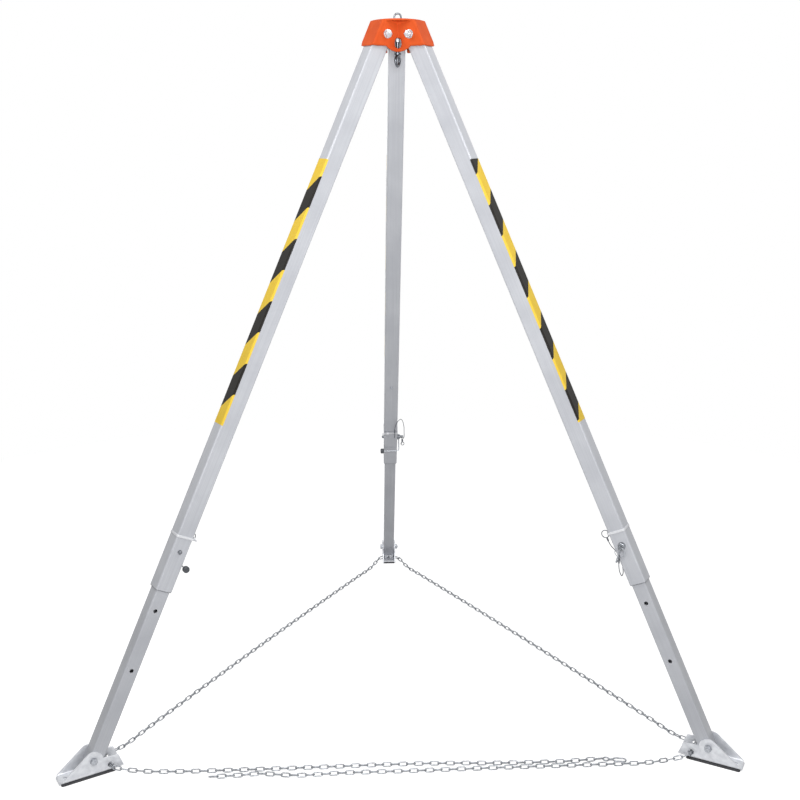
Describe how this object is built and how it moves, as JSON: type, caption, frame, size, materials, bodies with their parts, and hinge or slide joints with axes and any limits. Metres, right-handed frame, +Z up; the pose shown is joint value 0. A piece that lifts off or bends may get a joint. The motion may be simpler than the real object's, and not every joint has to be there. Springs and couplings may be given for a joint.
{
  "type": "rescue tripod",
  "caption": "Folding rescue tripod with a cast head, telescoping square-tube legs held by lock pins, swivel feet with rubber soles and a chain round the feet.",
  "frame": {"origin": "floor point under the head's axis, midway between the three feet", "axes": "+Z up along the head's axis; the rear leg points to +Y, the left leg to 210 degrees and the right leg to 330 degrees"},
  "size_m": [1.9452, 1.6885, 2.0789],
  "materials": {
    "head_paint": "painted",
    "zinc": "satin",
    "tube": "satin",
    "tape": "striped",
    "bush": "matte",
    "guide": "matte",
    "tie": "matte",
    "wire": "satin",
    "foot_plate": "satin",
    "sole": "matte",
    "pin": "satin",
    "grip": "matte",
    "chain": "bright"
  },
  "bodies": {
    "head": {"head_casting": "head_paint", "leg_pivot_bolts": "zinc", "leg_pivot_nuts": "zinc", "leg_pivot_washers": "zinc", "load_eye": "zinc", "lifting_eye": "zinc", "eye_fixings": "zinc", "foot_chain": "chain", "chain_hook": "zinc"},
    "left_upper_leg": {"left_upper_leg": "tube", "left_pivot_bushes": "bush", "left_hazard_tape": "tape", "left_guide_collar": "guide", "left_stop_screw": "zinc", "left_cable_tie": "tie", "left_lanyard": "wire"},
    "left_lower_leg": {"left_lower_leg": "tube", "left_guide_plug": "guide"},
    "left_foot": {"left_foot_bracket": "foot_plate", "left_foot_sole": "sole", "left_sole_rivets": "zinc", "left_foot_fixings": "zinc"},
    "left_pin": {"left_lock_pin": "pin", "left_split_ring": "zinc"},
    "left_bail": {"left_pin_bail": "pin", "left_bail_grip": "grip"},
    "rear_upper_leg": {"rear_upper_leg": "tube", "rear_pivot_bushes": "bush", "rear_hazard_tape": "tape", "rear_guide_collar": "guide", "rear_stop_screw": "zinc", "rear_cable_tie": "tie", "rear_lanyard": "wire"},
    "rear_lower_leg": {"rear_lower_leg": "tube", "rear_guide_plug": "guide"},
    "rear_foot": {"rear_foot_bracket": "foot_plate", "rear_foot_sole": "sole", "rear_sole_rivets": "zinc", "rear_foot_fixings": "zinc"},
    "rear_pin": {"rear_lock_pin": "pin", "rear_split_ring": "zinc"},
    "rear_bail": {"rear_pin_bail": "pin", "rear_bail_grip": "grip"},
    "right_upper_leg": {"right_upper_leg": "tube", "right_pivot_bushes": "bush", "right_hazard_tape": "tape", "right_guide_collar": "guide", "right_stop_screw": "zinc", "right_cable_tie": "tie", "right_lanyard": "wire"},
    "right_lower_leg": {"right_lower_leg": "tube", "right_guide_plug": "guide"},
    "right_foot": {"right_foot_bracket": "foot_plate", "right_foot_sole": "sole", "right_sole_rivets": "zinc", "right_foot_fixings": "zinc"},
    "right_pin": {"right_lock_pin": "pin", "right_split_ring": "zinc"},
    "right_bail": {"right_pin_bail": "pin", "right_bail_grip": "grip"}
  },
  "joints": [
    {"name": "left_leg_fold", "type": "hinge", "parent": "head", "child": "left_upper_leg", "pos_m": [-0.0485, -0.028, 2.01711], "axis": [0.5, -0.866, 0], "range_deg": [0, 25.8], "deforming": ["foot_chain"]},
    {"name": "left_leg_slide", "type": "slide", "parent": "left_upper_leg", "child": "left_lower_leg", "axis": [-0.3769, -0.2176, -0.9003], "range_m": [-0.36, 0.72], "deforming": ["foot_chain"]},
    {"name": "left_foot_swivel", "type": "hinge", "parent": "left_lower_leg", "child": "left_foot", "pos_m": [-0.87998, -0.50806, 0.051], "axis": [-0.5, 0.866, 0], "range_deg": [-45, 90], "deforming": ["foot_chain"]},
    {"name": "left_pin_pull", "type": "slide", "parent": "left_upper_leg", "child": "left_pin", "axis": [-0.5, 0.866, 0], "range_m": [0, 0.06], "deforming": ["left_lanyard"]},
    {"name": "left_bail_swing", "type": "hinge", "parent": "left_pin", "child": "left_bail", "pos_m": [-0.65074, -0.34106, 0.61441], "axis": [0.5, -0.866, 0], "range_deg": [0, 80], "deforming": ["left_lanyard"]},
    {"name": "rear_leg_fold", "type": "hinge", "parent": "head", "child": "rear_upper_leg", "pos_m": [0, 0.056, 2.01711], "axis": [-1, 0, 0], "range_deg": [0, 25.8], "deforming": ["foot_chain"]},
    {"name": "rear_leg_slide", "type": "slide", "parent": "rear_upper_leg", "child": "rear_lower_leg", "axis": [0, 0.4352, -0.9003], "range_m": [-0.36, 0.72], "deforming": ["foot_chain"]},
    {"name": "rear_foot_swivel", "type": "hinge", "parent": "rear_lower_leg", "child": "rear_foot", "pos_m": [0, 1.01612, 0.051], "axis": [1, 0, 0], "range_deg": [-45, 90], "deforming": ["foot_chain"]},
    {"name": "rear_pin_pull", "type": "slide", "parent": "rear_upper_leg", "child": "rear_pin", "axis": [1, 0, 0], "range_m": [0, 0.06], "deforming": ["rear_lanyard"]},
    {"name": "rear_bail_swing", "type": "hinge", "parent": "rear_pin", "child": "rear_bail", "pos_m": [0.03, 0.73409, 0.61441], "axis": [-1, 0, 0], "range_deg": [0, 80], "deforming": ["rear_lanyard"]},
    {"name": "right_leg_fold", "type": "hinge", "parent": "head", "child": "right_upper_leg", "pos_m": [0.0485, -0.028, 2.01711], "axis": [0.5, 0.866, 0], "range_deg": [0, 25.8], "deforming": ["foot_chain"]},
    {"name": "right_leg_slide", "type": "slide", "parent": "right_upper_leg", "child": "right_lower_leg", "axis": [0.3769, -0.2176, -0.9003], "range_m": [-0.36, 0.72], "deforming": ["foot_chain"]},
    {"name": "right_foot_swivel", "type": "hinge", "parent": "right_lower_leg", "child": "right_foot", "pos_m": [0.87998, -0.50806, 0.051], "axis": [-0.5, -0.866, 0], "range_deg": [-45, 90], "deforming": ["foot_chain"]},
    {"name": "right_pin_pull", "type": "slide", "parent": "right_upper_leg", "child": "right_pin", "axis": [-0.5, -0.866, 0], "range_m": [0, 0.06], "deforming": ["right_lanyard"]},
    {"name": "right_bail_swing", "type": "hinge", "parent": "right_pin", "child": "right_bail", "pos_m": [0.62074, -0.39303, 0.61441], "axis": [0.5, 0.866, 0], "range_deg": [0, 80], "deforming": ["right_lanyard"]}
  ]
}
